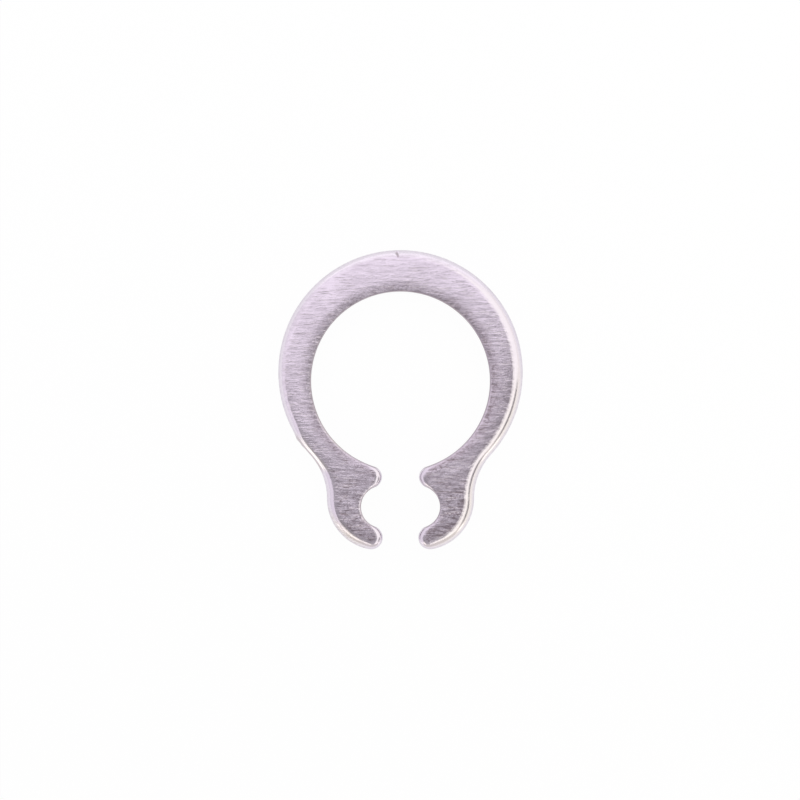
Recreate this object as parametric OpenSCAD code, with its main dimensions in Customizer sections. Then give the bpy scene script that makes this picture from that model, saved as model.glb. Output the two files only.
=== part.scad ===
/* [Ring] */
// Bore of the relaxed ring, a little under the groove that it grips
bore_d = 5.6; // [5.2:0.05:6.2]
// Outside diameter of the eccentric rim
rim_d = 7.66; // [7.3:0.02:8.4]
// Radial width of the ring at the back, opposite the gap
back_w = 1.3; // [1.1:0.02:1.5]
// Thickness of the strip that the ring is stamped from
thick = 0.7; // [0.6:0.05:1.2]

/* [Lugs] */
// Gap between the two lugs
gap_w = 1.14; // [0.8:0.02:1.5]
// Width across both lugs
lugs_w = 4.61; // [4.3:0.01:5]
// Radius of each lug's outer flank
lug_r = 1.62; // [1.45:0.01:1.85]
// Radius of the hollow neck between the rim and each lug
neck_r = 2.05; // [1.6:0.05:2.6]
// Diameter of the open plier hole in each lug
hole_d = 1.3; // [1.1:0.02:1.46]
// How much of its circle each plier hole wraps, in degrees
hole_wrap = 142; // [120:1:160]
// Tip radius of the hook that closes each plier hole below
hook_r = 0.37; // [0.34:0.01:0.45]
// Tip radius of the lip between each plier hole and the bore
lip_r = 0.34; // [0.3:0.01:0.42]

/* [Edges] */
// Rounding of the upper edge along the rim, the necks and the lugs' flanks
rim_edge_r = 0.28; // [0.2:0.01:0.3]
// Rounding of the upper edge round the hooks and the lips
tip_edge_r = 0.2; // [0.14:0.01:0.23]
// Rounding of the upper edge in the bore and in the plier holes
bore_edge_r = 0.12; // [0.06:0.01:0.18]
// Rounding of the lower edge, all round
base_edge_r = 0.1; // [0.05:0.01:0.2]

/* [Hidden] */
$fn = 96;

// Flat land that an edge strip keeps beside its rounding, and how much of it stays outside
// the middle plate
land = 0.1;
rebate = 0.035;
// Arcs that are tangent can't share a face, so every second strip of the outline runs on
// into its neighbours by lap and lies seam below their surface.
lap = 0.03;
seam = 0.012;

bore_r = bore_d / 2;
rim_r = rim_d / 2;
hole_r = hole_d / 2;
hole_half = hole_wrap / 2;

function dir(a) = [cos(a), sin(a)];
function angle_of(v) = atan2(v.y, v.x);

// The point at distance da from a and db from b, to the right of the way from a to b
function apart(a, da, b, db) =
    let (ab = b - a, d = norm(ab), u = ab / d)
    let (s = (d * d + da * da - db * db) / (2 * d))
    a + s * u + sqrt(da * da - s * s) * [u.y, -u.x];

// Centres of the right half's arcs, each one tangent to the next
bore_c = [0, 0];
rim_c = [0, bore_r + back_w - rim_r];
lip_x = gap_w / 2 + lip_r;
lip_c = [lip_x, -sqrt(pow(bore_r + lip_r, 2) - pow(lip_x, 2))];
hole_c = lip_c - (hole_r + lip_r) * dir(hole_half);
hook_c = hole_c + (hole_r + hook_r) * dir(-hole_half);
lug_x = lugs_w / 2 - lug_r;
lug_c = [lug_x, hook_c.y + sqrt(pow(lug_r - hook_r, 2) - pow(hook_c.x - lug_x, 2))];
neck_c = apart(lug_c, lug_r + neck_r, rim_c, rim_r + neck_r);

// Directions in which they touch
rim_end = angle_of(neck_c - rim_c);
lug_start = angle_of(neck_c - lug_c);
lug_end = angle_of(hook_c - lug_c);
bore_end = angle_of(lip_c);

// An arc of the outline is [centre, radius, first angle, last angle, edge rounding].
// Its angle falls where the metal is inside the circle and rises where it is outside.
rim = [rim_c, rim_r, 180 - rim_end, rim_end, rim_edge_r];
neck = [neck_c, neck_r, 180 + rim_end, 180 + lug_start, rim_edge_r];
lug = [lug_c, lug_r, lug_start, lug_end, rim_edge_r];
hook = [hook_c, hook_r, lug_end, -180 - hole_half, tip_edge_r];
hole = [hole_c, hole_r, -hole_half, hole_half, bore_edge_r];
lip = [lip_c, lip_r, 180 + hole_half, 180 + bore_end, tip_edge_r];
bore = [bore_c, bore_r, bore_end, 180 - bore_end, bore_edge_r];

function centre(arc) = arc[0];
function radius(arc) = arc[1];
function edge(arc) = arc[4];
function side(arc) = arc[3] < arc[2] ? 1 : -1;

function width(arc) = max(edge(arc), tip_edge_r) + land;
function lap_angle(arc) = side(arc) * lap / radius(arc) * 180 / PI;

// The same arc with its surface seam lower, and longer by lap at both ends
function sunk(arc) =
    [centre(arc), radius(arc) - side(arc) * seam,
     arc[2] + lap_angle(arc), arc[3] - lap_angle(arc), edge(arc)];

// Corners of the middle plate along an arc, in steps that begin and end lap inside it
function plate_points(arc, steps) =
    let (first = arc[2] - lap_angle(arc), last = arc[3] + lap_angle(arc))
    [for (k = [0 : steps])
        centre(arc) + (radius(arc) - side(arc) * (edge(arc) + rebate))
            * dir(first + k / steps * (last - first))];

// Section across an edge strip of width w, its rounded end at x = w
module section(w, edge_r) {
    intersection() {
        square([w, thick]);
        union() {
            translate([-edge_r, 0]) square([w, thick]);
            translate([0, base_edge_r]) square([w, thick - edge_r - base_edge_r]);
            translate([w - edge_r, thick - edge_r]) circle(edge_r);
            translate([-base_edge_r, 0]) square([w, thick / 2]);
            translate([w - base_edge_r, base_edge_r]) circle(base_edge_r);
        }
    }
}

// One strip of the ring's edge, turned along its arc of the outline
module edge_strip(arc) {
    w = width(arc);
    translate([centre(arc).x, centre(arc).y, 0])
        rotate_extrude(start = min(arc[2], arc[3]), angle = abs(arc[3] - arc[2]))
            translate([radius(arc) - side(arc) * w, 0])
                mirror([side(arc) > 0 ? 0 : 1, 0]) section(w, edge(arc));
}

module lug_edges() {
    edge_strip(sunk(neck));
    edge_strip(lug);
    edge_strip(sunk(hook));
    edge_strip(hole);
    edge_strip(sunk(lip));
}

// The flat middle of the ring, out to the land of every strip
module middle_plate() {
    right = concat(
        plate_points(neck, 4), plate_points(lug, 5), plate_points(hook, 5),
        plate_points(hole, 7), plate_points(lip, 5)
    );
    left = [for (k = [len(right) - 1 : -1 : 0]) [-right[k].x, right[k].y]];
    linear_extrude(thick)
        polygon(concat(plate_points(rim, 18), right, plate_points(bore, 24), left));
}

module retaining_ring() {
    color("silver") {
        middle_plate();
        edge_strip(rim);
        edge_strip(bore);
        lug_edges();
        mirror([1, 0, 0]) lug_edges();
    }
}

retaining_ring();
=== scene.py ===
import math

import bpy
import numpy as np
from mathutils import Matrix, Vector


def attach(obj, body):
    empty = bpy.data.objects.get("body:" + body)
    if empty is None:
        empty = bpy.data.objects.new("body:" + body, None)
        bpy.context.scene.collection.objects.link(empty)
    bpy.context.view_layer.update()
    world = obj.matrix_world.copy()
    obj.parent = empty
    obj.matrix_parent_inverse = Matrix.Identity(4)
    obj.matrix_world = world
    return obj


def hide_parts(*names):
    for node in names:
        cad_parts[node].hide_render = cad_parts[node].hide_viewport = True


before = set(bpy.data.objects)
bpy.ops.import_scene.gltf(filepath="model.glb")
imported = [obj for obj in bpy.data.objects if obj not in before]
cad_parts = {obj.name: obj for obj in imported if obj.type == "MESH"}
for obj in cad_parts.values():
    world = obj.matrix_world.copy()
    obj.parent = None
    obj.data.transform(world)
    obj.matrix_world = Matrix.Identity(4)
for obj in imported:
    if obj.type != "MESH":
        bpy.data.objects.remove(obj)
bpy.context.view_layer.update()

mm = 0.001
print("frame loaded")

# Sizes of the ring in millimetres and degrees. Those of its outline are the solid's own.
ring = {
    "boreRadius": 2.8,
    "rimRadius": 3.83,
    "backWidth": 1.3,
    "thickness": 0.7,
    "gap": 1.14,  # between the lugs
    "lugsWidth": 4.61,
    "lugRadius": 1.62,
    "neckRadius": 2.05,
    "holeRadius": 0.65,
    "holeWrap": 142,  # degrees of its circle that each plier hole keeps
    "hookRadius": 0.37,
    "lipRadius": 0.34,
    "lowerEdge": 0.1,
    "lowerLand": 0.02,  # strip of the lower face that belongs to the edge's section
    "pointSpacing": 0.03,
    "easing": 6,  # outline points over which one kind of edge passes into the next
    # [rounding of the upper edge, how far in from the outline the roll-over begins, how far it
    # drops, how far the skin lies inside the solid]
    "rimEdge": [0.28, 0.44, 0.032, 0.0025],
    "tipEdge": [0.20, 0.26, 0.005, 0.009],
    "boreEdge": [0.03, 0.42, 0.044, 0],
    "holeEdge": [0.03, 0.24, 0.020, 0],
    "lipRootEdge": [0.03, 0.30, 0.034, 0],
    # The edge below the burr is rounded less: [middle of that stretch, its reach, share lost]
    "tightEdge": [[-2.88, -2.18], 0.75, 0.42],
    # Shares of an arc's turn at which the arc that it faces across the metal changes
    "lugCut": 0.75,
    "holeCuts": (0.5, 0.75),
    "neckCuts": (0.2, 0.4),
    "boreCut": 0.21,
}

# Rows of the edge's section, from the flat face out over the edge and down to the lower face
sectionRows = {"rollOver": 6, "rounding": 16, "wall": 5, "lowerRounding": 6}
mapSpan = 0.2  # millimetres of the face over which the section's running coordinate grows by 1

# Dents and burrs left by stamping: [place, push, radius], in millimetres
flaws = {
    "nick": [[-0.11, 4.02, 0.60], [0.012, -0.030, -0.035], 0.045],
    "burr": [[-3.19, -1.80, 0.40], [-0.032, -0.018, 0.006], 0.11],
    "lowerBurr": [[-3.06, -2.02, 0.36], [-0.020, -0.012, 0.004], 0.07],
}


# The unit vector at an angle in degrees, or a row of them for an array of angles
def direction(angle):
    return np.stack([np.cos(np.radians(angle)), np.sin(np.radians(angle))], axis=-1)


def angleOf(vector):
    return math.degrees(math.atan2(vector[1], vector[0]))


# The point at distance da from a and db from b, to the right of the way from a to b
def apart(a, da, b, db):
    along = b - a
    distance = np.linalg.norm(along)
    unit = along / distance
    foot = (distance**2 + da**2 - db**2) / (2 * distance)
    return a + foot * unit + math.sqrt(da**2 - foot**2) * np.array([unit[1], -unit[0]])


# Centres of the right half's arcs. Each arc is tangent to the next: their centres lie the sum of
# their radii apart, or the difference where one arc lies inside the other's circle.
def arcCentres(r):
    half = r["holeWrap"] / 2
    rim = np.array([0, r["boreRadius"] + r["backWidth"] - r["rimRadius"]])
    lipX = r["gap"] / 2 + r["lipRadius"]
    lip = np.array([lipX, -math.sqrt((r["boreRadius"] + r["lipRadius"]) ** 2 - lipX**2)])
    hole = lip - (r["holeRadius"] + r["lipRadius"]) * direction(half)
    hook = hole + (r["holeRadius"] + r["hookRadius"]) * direction(-half)
    lugX = r["lugsWidth"] / 2 - r["lugRadius"]
    reach = r["lugRadius"] - r["hookRadius"]
    lug = np.array([lugX, hook[1] + math.sqrt(reach**2 - (hook[0] - lugX) ** 2)])
    neck = apart(lug, r["lugRadius"] + r["neckRadius"], rim, r["rimRadius"] + r["neckRadius"])
    return {"rim": rim, "neck": neck, "lug": lug, "hook": hook, "hole": hole, "lip": lip}


# The part of an arc between two shares of its turn
def stretch(arc, start, end):
    centre, radius, first, last, side, edge = arc
    turn = last - first
    return [centre, radius, first + start * turn, first + end * turn, side, edge]


# The right half's outline as pairs of facing arcs, from the hook's tip to the back of the ring.
# An arc is [centre, radius, first angle, last angle, +1 if metal is inside it or -1, edge].
def facingArcs(r):
    c = arcCentres(r)
    half = r["holeWrap"] / 2
    rimEnd = angleOf(c["neck"] - c["rim"])
    lugStart = angleOf(c["neck"] - c["lug"])
    lugEnd = angleOf(c["hook"] - c["lug"])
    boreEnd = angleOf(c["lip"])
    hookEnd = -180 - half
    hookTip = (lugEnd + hookEnd) / 2
    hookOut = [c["hook"], r["hookRadius"], hookTip, lugEnd, 1, r["tipEdge"]]
    hookIn = [c["hook"], r["hookRadius"], hookTip, hookEnd, 1, r["tipEdge"]]
    lug = [c["lug"], r["lugRadius"], lugEnd, lugStart, 1, r["rimEdge"]]
    neck = [c["neck"], r["neckRadius"], 180 + lugStart, 180 + rimEnd, -1, r["rimEdge"]]
    rim = [c["rim"], r["rimRadius"], rimEnd, 90, 1, r["rimEdge"]]
    hole = [c["hole"], r["holeRadius"], -half, half, -1, r["holeEdge"]]
    lip = [c["lip"], r["lipRadius"], 180 + half, 180 + boreEnd, 1, r["tipEdge"]]
    lipRoot = [np.zeros(2), r["boreRadius"], boreEnd, 90, -1, r["lipRootEdge"]]
    bore = [np.zeros(2), r["boreRadius"], boreEnd, 90, -1, r["boreEdge"]]
    holeLow, holeHigh = r["holeCuts"]
    neckLow, neckHigh = r["neckCuts"]
    return [
        [hookOut, hookIn],
        [stretch(lug, 0, r["lugCut"]), stretch(hole, 0, holeLow)],
        [stretch(lug, r["lugCut"], 1), stretch(hole, holeLow, holeHigh)],
        [stretch(neck, 0, neckLow), stretch(hole, holeHigh, 1)],
        [stretch(neck, neckLow, neckHigh), lip],
        [stretch(neck, neckHigh, 1), stretch(lipRoot, 0, r["boreCut"])],
        [rim, stretch(bore, r["boreCut"], 1)],
    ]


# Points along an arc at the middles of equal steps: x, y, outward normal x, y, and the edge's
# four sizes
def arcPoints(arc, steps):
    centre, radius, first, last, side, edge = arc
    turn = first + (np.arange(steps) + 0.5) / steps * (last - first)
    out = direction(turn)
    return np.hstack([centre + radius * out, side * out, np.tile(edge, (steps, 1))])


# The closed outline: the outer side from the left hook over the back to the right hook, then
# the inner side back again, so that point k faces point -1 - k
def outline(r):
    outer, inner = [], []
    for outerArc, innerArc in facingArcs(r):
        length = max(abs(a[3] - a[2]) * math.pi / 180 * a[1] for a in (outerArc, innerArc))
        steps = math.ceil(length / r["pointSpacing"])
        outer.append(arcPoints(outerArc, steps))
        inner.append(arcPoints(innerArc, steps))
    mirrorX = np.array([-1, 1, -1, 1, 1, 1, 1, 1])
    outer, inner = np.vstack(outer), np.vstack(inner)
    return np.vstack([outer * mirrorX, outer[::-1], inner, inner[::-1] * mirrorX])


# A running mean round the closed outline, weighted by a bell curve
def eased(values, reach):
    weights = np.exp(-0.5 * (np.arange(-2 * reach, 2 * reach + 1) / reach) ** 2)
    wrapped = np.concatenate([values[-2 * reach :], values, values[: 2 * reach]])
    return np.convolve(wrapped, weights / weights.sum(), "valid")


# Each row of the edge's section at every outline point, as the inset from the outline, the
# height, and a running coordinate that is 0 at the top of the wall and 1 at the flat face's
# side of the rounding. The roll-over drops with the square of the way into it; the roundings
# are quarter circles.
def sectionGrid(r, edge, width, drop):
    rows = []
    thick, low = r["thickness"], r["lowerEdge"]
    zero = 0 * edge

    def fall(inset):
        return drop * np.clip(1 - inset / width, 0, 1) ** 2

    for step in np.linspace(0, 1, sectionRows["rollOver"], endpoint=False):
        inset = width + step * (edge - width)
        rows.append([inset, thick - fall(inset), 1 + (inset - edge) / mapSpan])
    for step in np.linspace(0, 1, sectionRows["rounding"] + 1):
        turn = step * math.pi / 2
        inset = edge * (1 - math.sin(turn))
        height = thick - edge * (1 - math.cos(turn)) - fall(inset)
        rows.append([inset, height, 1 - step + zero])
    top = thick - edge - fall(zero)
    for step in np.linspace(0, 1, sectionRows["wall"] + 1)[1:]:
        height = top + step * (low - top)
        rows.append([zero, height, height - top])
    for step in np.linspace(0, 1, sectionRows["lowerRounding"] + 1)[1:]:
        turn = step * math.pi / 2
        inset = low * (1 - math.cos(turn)) + zero
        rows.append([inset, low * (1 - math.sin(turn)) + zero, low - top - turn * low])
    rows.append([low + r["lowerLand"] + zero, zero, -top - low])
    return np.array(rows).transpose(0, 2, 1)  # rows, outline points, 3


# A push round a place, which fades with the distance as a bell curve
def pushed(points, place, push, radius):
    away = np.linalg.norm(points - np.array(place), axis=-1, keepdims=True)
    return points + np.array(push) * np.exp(-0.5 * (away / radius) ** 2)


# The section carried round the outline: a point lies its row's inset and the sink inside the
# outline, along the normal, at its row's height. Then the flaws push it.
def skinPoints(path, grid, sink):
    flat = path[None, :, :2] - (grid[:, :, :1] + sink[:, None]) * path[None, :, 2:4]
    points = np.dstack([flat, grid[:, :, 1]])
    for place, push, radius in flaws.values():
        points = pushed(points, place, push, radius)
    return points


# The ring's skin, with its two flat faces ruled from each outline point's last row to the
# facing point's
def buildRing(name, r):
    path = outline(r)
    count = len(path)
    edge, width, drop, sink = (eased(path[:, k], r["easing"]) for k in (4, 5, 6, 7))
    middle, reach, loss = r["tightEdge"]
    away = np.linalg.norm(path[:, :2] - np.array(middle), axis=1)
    edge = edge * (1 - loss * np.exp(-((away / reach) ** 4)))  # a flat-topped bell curve
    grid = sectionGrid(r, edge, width, drop)
    points = skinPoints(path, grid, sink)

    # Faces of the skin, and of the flat parts between two neighbours and the two they face
    rowCount = len(grid)
    index = np.arange(rowCount * count).reshape(rowCount, count)
    after = np.roll(index, -1, axis=1)
    skin = np.stack([index[:-1], after[:-1], after[1:], index[1:]], axis=-1).reshape(-1, 4)
    half = count // 2
    top, bottom = index[0], index[-1]
    this, following = slice(0, half - 1), slice(1, half)
    upper = np.stack(
        [top[this], top[::-1][this], top[::-1][following], top[following]], axis=-1
    )
    lower = np.stack(
        [bottom[this], bottom[following], bottom[::-1][following], bottom[::-1][this]], axis=-1
    )
    faces = np.vstack([skin, upper, lower])

    # Two running coordinates for the material: along the outline, and over the edge
    gaps = np.linalg.norm(np.roll(path[:, :2], -1, axis=0) - path[:, :2], axis=1)
    along = np.concatenate([[0], np.cumsum(gaps)])
    start = np.tile(along[:-1], rowCount)
    corners = np.stack([start[faces], grid[:, :, 2].reshape(-1)[faces]], axis=-1)
    ends = np.tile(along[1:], rowCount - 1)
    corners[: len(skin), 1, 0] = ends
    corners[: len(skin), 2, 0] = ends

    mesh = bpy.data.meshes.new(name)
    mesh.from_pydata((points.reshape(-1, 3) * mm).tolist(), [], faces.tolist())
    edgeMap = mesh.uv_layers.new(name="edgeMap")
    edgeMap.data.foreach_set("uv", corners.reshape(-1).astype(np.float32))
    mesh.polygons.foreach_set("use_smooth", np.ones(len(faces), bool))
    mesh.update()
    piece = bpy.data.objects.new(name, mesh)
    bpy.context.scene.collection.objects.link(piece)
    print(name, "has", len(faces), "faces")
    return piece


# A socket of a node tree. Sums, products and the like of wires add their Math nodes.
class Wire:
    def __init__(self, tree, socket=None):
        self.tree = tree
        self.socket = socket

    # A new node: its type, its settings, then the values or wires of its sockets
    def node(self, kind, settings=None, values=None, output=0):
        made = self.tree.nodes.new(kind)
        for key, value in (settings or {}).items():
            setattr(made, key, value)
        for key, value in (values or {}).items():
            if isinstance(value, Wire):
                self.tree.links.new(value.socket, made.inputs[key])
            else:
                made.inputs[key].default_value = value
        return Wire(self.tree, made.outputs[output])

    def maths(self, operation, *values):
        return self.node("ShaderNodeMath", {"operation": operation}, dict(enumerate(values)))

    def vectorMaths(self, operation, *values, output=0):
        settings = {"operation": operation}
        return self.node("ShaderNodeVectorMath", settings, dict(enumerate(values)), output)

    def __add__(self, other):
        return self.maths("ADD", self, other)

    def __radd__(self, other):
        return self.maths("ADD", other, self)

    def __sub__(self, other):
        return self.maths("SUBTRACT", self, other)

    def __rsub__(self, other):
        return self.maths("SUBTRACT", other, self)

    def __mul__(self, other):
        return self.maths("MULTIPLY", self, other)

    def __rmul__(self, other):
        return self.maths("MULTIPLY", other, self)

    def __abs__(self):
        return self.maths("ABSOLUTE", self)

    # 0 below low, 1 above high, with a soft bend at both ends
    def between(self, low, high):
        settings = {"interpolation_type": "SMOOTHSTEP"}
        return self.node("ShaderNodeMapRange", settings, {"Value": self, 1: low, 2: high})

    # 1 below low, 0 above high
    def fading(self, low, high):
        return 1 - self.between(low, high)

    def dot(self, vector):
        return self.vectorMaths("DOT_PRODUCT", self, vector, output="Value")

    def distance(self, point):
        return self.vectorMaths("DISTANCE", self, point, output="Value")

    def stretched(self, factors, shift=(0, 0, 0)):
        return self.vectorMaths("MULTIPLY_ADD", self, factors, shift)

    # A zone of the ring: the direction it is measured in, where it starts and where it is full
    def zone(self, towards, start, full):
        return self.dot(towards).between(start, full)

    # Noise from 0 to 1 at this vector
    def noise(self, scale, shift, detail, roughness):
        grid = self.stretched(scale, shift)
        values = {"Vector": grid, "Scale": 1, "Detail": detail, "Roughness": roughness}
        return self.node("ShaderNodeTexNoise", values=values)

    # first where self is 0 and second where it is 1, as colours
    def blend(self, first, second):
        settings = {"data_type": "RGBA", "clamp_factor": True}
        return self.node("ShaderNodeMix", settings, {0: self, 6: first, 7: second}, 2)


# Brushed spring steel: the brushing runs along X, and lengths are in millimetres
steel = {
    "paleColour": (0.91, 0.84, 0.93, 1),
    "colour": (0.74, 0.68, 0.755, 1),
    "edgeColour": (0.78, 0.72, 0.80, 1),
    "darkColour": (0.335, 0.28, 0.31, 1),
    "warmLightColour": (0.84, 0.785, 0.79, 1),  # painted warm light: a cream tint on the edge on the right and on the left lug's flank
    "burrHighlightColour": (0.97, 0.93, 0.92, 1),  # painted highlight on the edge below the burr
    "brownColour": (0.46, 0.39, 0.36, 1),
    "sideColour": (0.75, 0.69, 0.77, 1),
    "wallColour": (0.64, 0.585, 0.66, 1),
    # Patterns: [marks per millimetre along X, Y and Z, shift, detail, roughness]
    "streaks": [(2.4, 12, 8), (0, 0, 0), 3, 0.6],
    "scratches": [(2.1, 20, 9), (7, 3, 1), 2, 0.5],
    "specks": [(11, 15, 11), (3, 2, 6), 2, 0.6],
    "patches": [(1.1, 1.5, 1.1), (4, 2, 8), 3, 0.5],
    "punchMarks": [(9, 0.8, 0), (0, 0, 0), 3, 0.6],  # along the outline and down the wall
    # Values of a pattern between which a mark sets in, or the speckled painted shade beside the
    # bore
    "scratchRange": (0.57, 0.70),
    "boreShadeSpecks": (0.42, 0.60),
    "mottleSpecks": (0.5, 0.66),
    "mottleStreaks": (0.38, 0.54),
    "punchRange": (0.35, 0.65),
    "brownSpeckRange": (0.45, 0.62),
    # Zones: [direction that is measured, where the zone starts, where it is full]
    "lowerRight": [(0.9, -1, 0), -2.5, -0.5],
    "lugs": [(0, -1, 0), 2, 4],
    # Painted shade on the hook tips
    "hooks": [(0, -1, 0), 4.2, 5],
    "rightSideShade": [(1, -0.35, 0), 2.6, 3.6],  # painted shade on the right side of the rim and the right lug's flank
    # Painted warm light on the edge at the right
    "warmLightRight": [(1, -0.5, 0), 3.1, 4.2],
    "lugFlank": [(-0.7, -0.7, 0), 4.25, 4.6],
    "belowBurr": [[(0, -1, 0), 1.55, 1.9], [(0, 1, 0), -2.95, -2.65], [(-1, 0, 0), 1.7, 1.9]],
    "lowerFace": [(0, 0, -1), -0.07, -0.01],
    # Bands of painted shade beside the inner edges: (full up to this distance, gone at this one)
    "boreShadeBand": (0.12, 0.45),
    "shadeBand": (0.08, 0.40),
    "edgeShadeBand": (0.01, 0.06),
    # Bands over the edge, from 0 at the top of the wall to 1 where the rounding meets the face
    "faceBand": (0.3, 0.9),
    "faceShift": 0.4,  # how much further in the face's finish starts at the lower right
    "sideBand": (0.15, 0.5),
    "burrHighlightBand": (0.45, 0.6),
    "brownStart": (-0.2, 0.05),
    "brownEnd": (0.4, 0.6),
    # Painted shade in the nick at the back: its middle, its direction, the one across it, its
    # reach each way
    "nickPlace": (-0.10, 3.955, 0),
    "nickAlong": (0.39, -0.92, 0),
    "nickAcross": (0.92, 0.39, 0),
    "nickLength": (0.05, 0.12),
    "nickWidth": (0.015, 0.055),
    # How much each pattern sways the tone from colour to paleColour, and their whole sway
    "tone": {"streaks": 1.4, "specks": 0.7, "patches": 0.6, "sway": 0.38},
    # How much each mark darkens the face, and how much painted shade darkens it beside the bore,
    # on the lugs, on the hook tips and on the right side
    "dark": {
        "scratches": 0.22, "scratchesAndShadeOnLugs": 0.3, "speckledBoreShade": 0.24, "hooks": 0.38, "rightSideShade": 0.19,
        "shade": 0.05, "shadeLowerRight": 0.25, "mottle": 0.05, "mottleAndShadeOnLugs": 0.48,
        "mottleAndShadeOnRight": 0.14, "mottleAndShadeNearBore": 0.10,
    },
    # Painted shade: how dark the lines along the bore's and the holes' edges, and the mark in
    # the nick, are
    "shadeLines": {"bore": 0.7, "holes": 0.6, "nick": 0.75},
    # A brown band on the outer part of the edge below the burr, and brown specks on the left
    # lug's flank
    "brown": {"belowBurr": 0.5, "flank": 0.4},
    # Depths in the relief, with 1 for the streaks, and the height of 1 in micrometres
    "depth": {"scratches": 0.55, "specks": 0.4, "moreOnLugs": 0.6, "punch": 0.7, "patches": 0.4},
    "grainDepth": 9,
    "faceRoughness": 0.21,
    "edgeRoughness": 0.20,
    "speckRoughness": 0.10,
    "sideRoughness": 0.12,
}


def springSteel(name, s, r):
    material = bpy.data.materials.new(name)
    material.use_nodes = True
    tree = material.node_tree
    shader = tree.nodes["Principled BSDF"]
    start = Wire(tree)
    place = start.node("ShaderNodeTexCoord", output="Object").stretched((1 / mm, 1 / mm, 1 / mm))
    edgeMap = start.node("ShaderNodeUVMap", {"uv_map": "edgeMap"}, output="UV")
    overEdge = start.node("ShaderNodeSeparateXYZ", values={0: edgeMap}, output="Y")
    plan = place.stretched((1, 1, 0))
    fromBore = plan.distance((0, 0, 0)) - r["boreRadius"]
    holeX, holeY = arcCentres(r)["hole"]
    fromHoles = [plan.distance((x, holeY, 0)) - r["holeRadius"] for x in (holeX, -holeX)]

    # Patterns
    streaks = place.noise(*s["streaks"])
    scratches = place.noise(*s["scratches"]).between(*s["scratchRange"])
    specks = place.noise(*s["specks"])
    patches = place.noise(*s["patches"])
    punchMarks = edgeMap.noise(*s["punchMarks"])
    mottle = specks.between(*s["mottleSpecks"]) + streaks.fading(*s["mottleStreaks"])

    # Where on the ring
    lowerRight = place.zone(*s["lowerRight"])
    lugs = place.zone(*s["lugs"])
    # Painted shade on the hook tips
    hooks = place.zone(*s["hooks"])
    # Painted shade on the right side of the rim and the right lug's flank
    rightSideShade = place.zone(*s["rightSideShade"])
    warmLightRight = place.zone(*s["warmLightRight"])
    lugFlank = place.zone(*s["lugFlank"])
    lowerFace = place.zone(*s["lowerFace"])
    fromBurr, toLug, onLeft = (place.zone(*zone) for zone in s["belowBurr"])
    belowBurr = fromBurr * toLug * onLeft
    onFace = (overEdge - s["faceShift"] * lowerRight).between(*s["faceBand"]) + lowerFace
    onSide = overEdge.fading(*s["sideBand"]) * (1 - lowerFace)
    # Painted shade beside the bore, broken up by the speck pattern
    nearBore = fromBore.fading(*s["boreShadeBand"])
    speckledBoreShade = nearBore * specks.between(*s["boreShadeSpecks"])
    # Painted shade beside the bore, stronger at the lower right
    besideBore = fromBore.fading(*s["shadeBand"])
    # Painted shade: thin dark lines along the bore's and the holes' edges
    boreEdgeShade = fromBore.fading(*s["edgeShadeBand"])
    holeEdgeShade = fromHoles[0].fading(*s["edgeShadeBand"]) + fromHoles[1].fading(*s["edgeShadeBand"])
    # Painted shade in the nick's dent
    fromNick = place.vectorMaths("SUBTRACT", place, s["nickPlace"])
    nick = abs(fromNick.dot(s["nickAlong"])).fading(*s["nickLength"])
    nick = nick * abs(fromNick.dot(s["nickAcross"])).fading(*s["nickWidth"])

    # The brushed face: a tone that sways with the patterns, darkened by the marks and by painted
    # shade
    tones, darks = s["tone"], s["dark"]
    tone = (streaks - 0.5) * tones["streaks"] + (specks - 0.5) * tones["specks"]
    tone = tone + (patches - 0.5) * tones["patches"]
    tone = tone.between(-tones["sway"], tones["sway"])
    faceColour = tone.blend(s["colour"], s["paleColour"])
    # Scratches and mottle are the steel's own; their extra darkness on the lugs, on the right
    # side and beside the bore is painted shade, and so is the plain darkening of the hook tips
    # and the right side
    scratched = darks["scratches"] + lugs * darks["scratchesAndShadeOnLugs"]
    shaded = darks["shade"] + lowerRight * darks["shadeLowerRight"]
    mottled = darks["mottle"] + lugs * darks["mottleAndShadeOnLugs"] + rightSideShade * darks["mottleAndShadeOnRight"]
    mottled = mottled + nearBore * darks["mottleAndShadeNearBore"]
    dark = scratches * scratched + mottle * mottled + besideBore * shaded
    dark = dark + speckledBoreShade * darks["speckledBoreShade"] + hooks * darks["hooks"] + rightSideShade * darks["rightSideShade"]
    faceColour = (dark * onFace).blend(faceColour, s["darkColour"])

    # The rounded edge with its painted warm light and painted highlight, and the wall, then the
    # brown and the painted shade lines over all of them
    # Painted warm light: a cream tint on the edge at the right and on the left lug's flank
    edgeColour = (warmLightRight + lugFlank).blend(s["edgeColour"], s["warmLightColour"])
    # Painted highlight: a near-white line over the edge below the burr
    burrHighlight = belowBurr * overEdge.between(*s["burrHighlightBand"])
    edgeColour = burrHighlight.blend(edgeColour, s["burrHighlightColour"])
    colour = onFace.blend(edgeColour, faceColour)
    wallColour = punchMarks.between(*s["punchRange"]).blend(s["wallColour"], s["sideColour"])
    colour = onSide.blend(colour, wallColour)
    # A brown band on the outer part of the edge below the burr, and brown specks on the left
    # lug's flank
    brown = belowBurr * s["brown"]["belowBurr"] * overEdge.fading(*s["brownEnd"])
    brown = brown + lugFlank * specks.between(*s["brownSpeckRange"]) * s["brown"]["flank"]
    brown = brown * overEdge.between(*s["brownStart"]) * (1 - onFace)
    colour = brown.blend(colour, s["brownColour"])
    # Painted shade: dark lines along the inner edges and a dark mark in the nick
    shadeLines = boreEdgeShade * s["shadeLines"]["bore"] + holeEdgeShade * s["shadeLines"]["holes"]
    colour = (nick * s["shadeLines"]["nick"] + shadeLines).blend(colour, s["darkColour"])

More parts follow.
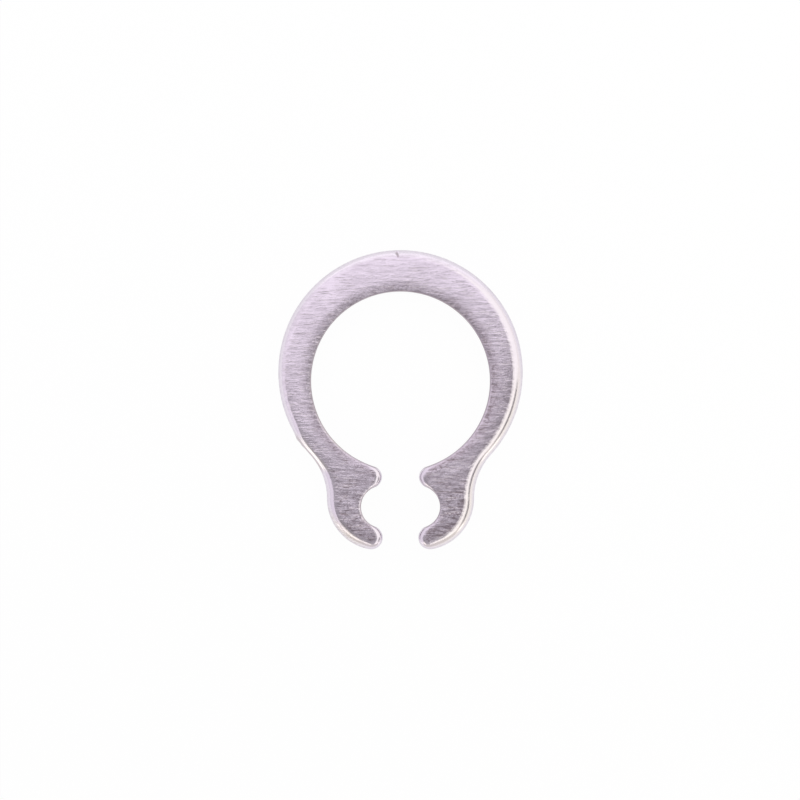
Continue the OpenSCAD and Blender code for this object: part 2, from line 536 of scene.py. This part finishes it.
    # Relief and gloss
    depth = s["depth"]
    height = streaks - depth["scratches"] * scratches + depth["specks"] * specks
    height = onFace * height * (1 + lugs * depth["moreOnLugs"]) + patches * depth["patches"]
    height = height + onSide * punchMarks * depth["punch"]
    relief = {"Strength": 1, "Distance": s["grainDepth"] * 1e-6, "Height": height}
    bump = start.node("ShaderNodeBump", values=relief)
    rough = s["edgeRoughness"] + onFace * (s["faceRoughness"] - s["edgeRoughness"])
    rough = rough + (specks - 0.5) * s["speckRoughness"] + onSide * s["sideRoughness"]
    shader.inputs["Metallic"].default_value = 1
    for key, wire in {"Base Color": colour, "Roughness": rough, "Normal": bump}.items():
        tree.links.new(wire.socket, shader.inputs[key])
    return material


piece = buildRing("brushedRing", ring)
piece.data.materials.append(springSteel("springSteel", steel, ring))
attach(piece, "root")
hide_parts("retaining_ring")
print("ring finished")

# The floor and the lights. Places are in millimetres, and a lamp's light is what a white
# sheet under it would show, with 1 for white.
studio = {
    "floorSide": 600,
    "floorDrop": 0.01,  # below the ring, so that their faces don't share a plane
    "floorColour": (0.95, 0.95, 0.95, 1),
    "floorShine": 0.97,  # share of the floor that shows as plain white to the camera
    "worldLight": 0.26,
    "worldColour": (1, 0.95, 1, 1),
    # Panels over the ring, which it mirrors, and walls: [middle, turn in degrees, size, light,
    # colour]
    "lamps": {
        "overhead": [(-9.25, 14, 24), (0, 0, 0), (25.5, 26), 0.76, (0.98, 0.925, 1)],
        "overheadRight": [(6, 15, 24), (0, 0, 0), (5, 24), 0.78, (0.98, 0.925, 1)],
        "lowOverhead": [(-11.5, 0, 24), (0, 0, 0), (21, 2), 0.66, (0.98, 0.925, 1)],
        "overLeft": [(-14.25, -5.25, 24), (0, 0, 0), (15.5, 8.5), 0.16, (0.98, 0.93, 1)],
        "overFront": [(1, -16, 24), (0, 0, 0), (15, 18), 0.22, (0.98, 0.94, 1)],
        "overGap": [(0.5, -3.5, 24), (0, 0, 0), (5, 5), 0.47, (0.98, 0.93, 1)],
        "farLeft": [(-41, 15, 24), (0, 0, 0), (38, 90), 0.70, (0.98, 0.93, 1)],
        "overRight": [(18.5, -2, 24), (0, 0, 0), (20, 58), 0.96, (1, 1, 0.93)],
        "farRight": [(44.25, 28, 24), (0, 0, 0), (31.5, 64), 0.96, (1, 1, 0.93)],
        "farBack": [(3.25, 43.5, 24), (0, 0, 0), (50.5, 33), 0.79, (1, 0.97, 1)],
        "leftWall": [(-60, 0, 12), (0, -90, 0), (24, 120), 0.64, (0.98, 0.95, 1)],
        "rightWall": [(60, 0, 12), (0, 90, 0), (24, 120), 0.81, (1, 0.98, 0.90)],
        "backWall": [(0, 60, 12), (-90, 0, 0), (120, 24), 0.92, (1, 0.99, 1)],
        "leftCorner": [(-25, -27.5, 24), (0, 0, 0), (28, 20), 0.85, (1, 0.97, 0.86)],
        "frontWall": [(0, -40, 20), (90, 0, 0), (120, 40), 0.51, (1, 0.97, 0.88)],
    },
}


# A material that shows white to the camera and in gloss by the given share, and is lit for
# the rest
def paleFloor(name, colour, share):
    material = bpy.data.materials.new(name)
    material.use_nodes = True
    tree = material.node_tree
    tree.nodes.remove(tree.nodes["Principled BSDF"])
    start = Wire(tree)
    kinds = ("Is Camera Ray", "Is Glossy Ray", "Is Transmission Ray")
    direct, gloss, glass = (start.node("ShaderNodeLightPath", output=kind) for kind in kinds)
    seen = start.maths("MAXIMUM", direct, start.maths("MAXIMUM", gloss, glass))
    lit = start.node("ShaderNodeBsdfDiffuse", values={"Color": colour})
    white = start.node("ShaderNodeEmission", values={"Color": (1, 1, 1, 1), "Strength": 1})
    mixed = start.node("ShaderNodeMixShader", values={0: seen * share, 1: lit, 2: white})
    tree.links.new(mixed.socket, tree.nodes["Material Output"].inputs["Surface"])
    return material


def buildFloor(s):
    half, height = s["floorSide"] / 2 * mm, -s["floorDrop"] * mm
    corners = [(x * half, y * half, height) for x, y in ((-1, -1), (1, -1), (1, 1), (-1, 1))]
    mesh = bpy.data.meshes.new("floor")
    mesh.from_pydata(corners, [], [(0, 1, 2, 3)])
    mesh.materials.append(paleFloor("paleFloor", s["floorColour"], s["floorShine"]))
    floor = bpy.data.objects.new("floor", mesh)
    bpy.context.scene.collection.objects.link(floor)


# A panel that shines as a white sheet does at the given level: its power is level times pi
# times its area
def buildLamp(name, place, turn, size, level, colour):
    light = bpy.data.lights.new(name, "AREA")
    light.shape = "RECTANGLE"
    light.size, light.size_y = (side * mm for side in size)
    light.energy = level * math.pi * light.size * light.size_y
    light.color = colour
    holder = bpy.data.objects.new(name, light)
    holder.location = Vector(place) * mm
    holder.rotation_euler = [math.radians(angle) for angle in turn]
    holder.visible_camera = False
    bpy.context.scene.collection.objects.link(holder)


# White to the camera, and a dim light on the ring
def buildWorld(s):
    world = bpy.data.worlds.new("studio")
    world.use_nodes = True
    tree = world.node_tree
    tree.nodes.remove(tree.nodes["Background"])
    start = Wire(tree)
    seen = start.node("ShaderNodeLightPath", output="Is Camera Ray")
    dim = {"Color": s["worldColour"], "Strength": s["worldLight"]}
    light = start.node("ShaderNodeBackground", values=dim)
    white = start.node("ShaderNodeBackground", values={"Color": (1, 1, 1, 1), "Strength": 1})
    mixed = start.node("ShaderNodeMixShader", values={0: seen, 1: light, 2: white})
    tree.links.new(mixed.socket, tree.nodes["World Output"].inputs["Surface"])
    bpy.context.scene.world = world


buildFloor(studio)
buildWorld(studio)
for lampName, lampValues in studio["lamps"].items():
    buildLamp(lampName, *lampValues)
print("studio built")

# The camera looks straight down through a long lens: the picture is fieldWidth across at
# height focusHeight, and middle is the place at its centre. Lengths are in millimetres.
view = {
    "distance": 300,
    "fieldWidth": 25.05,
    "middle": (-0.016, -0.595),
    "focusHeight": 0.4,
    "sensorWidth": 36,
    "clip": (10, 10000),
}
lens = bpy.data.cameras.new("camera")
lens.sensor_width = view["sensorWidth"]
lens.lens = view["sensorWidth"] * view["distance"] / view["fieldWidth"]
lens.clip_start, lens.clip_end = (distance * mm for distance in view["clip"])
camera = bpy.data.objects.new("camera", lens)
camera.location = Vector((*view["middle"], view["distance"] + view["focusHeight"])) * mm
bpy.context.scene.collection.objects.link(camera)
bpy.context.scene.camera = camera
bpy.context.scene.view_settings.view_transform = "Standard"
print("camera placed")
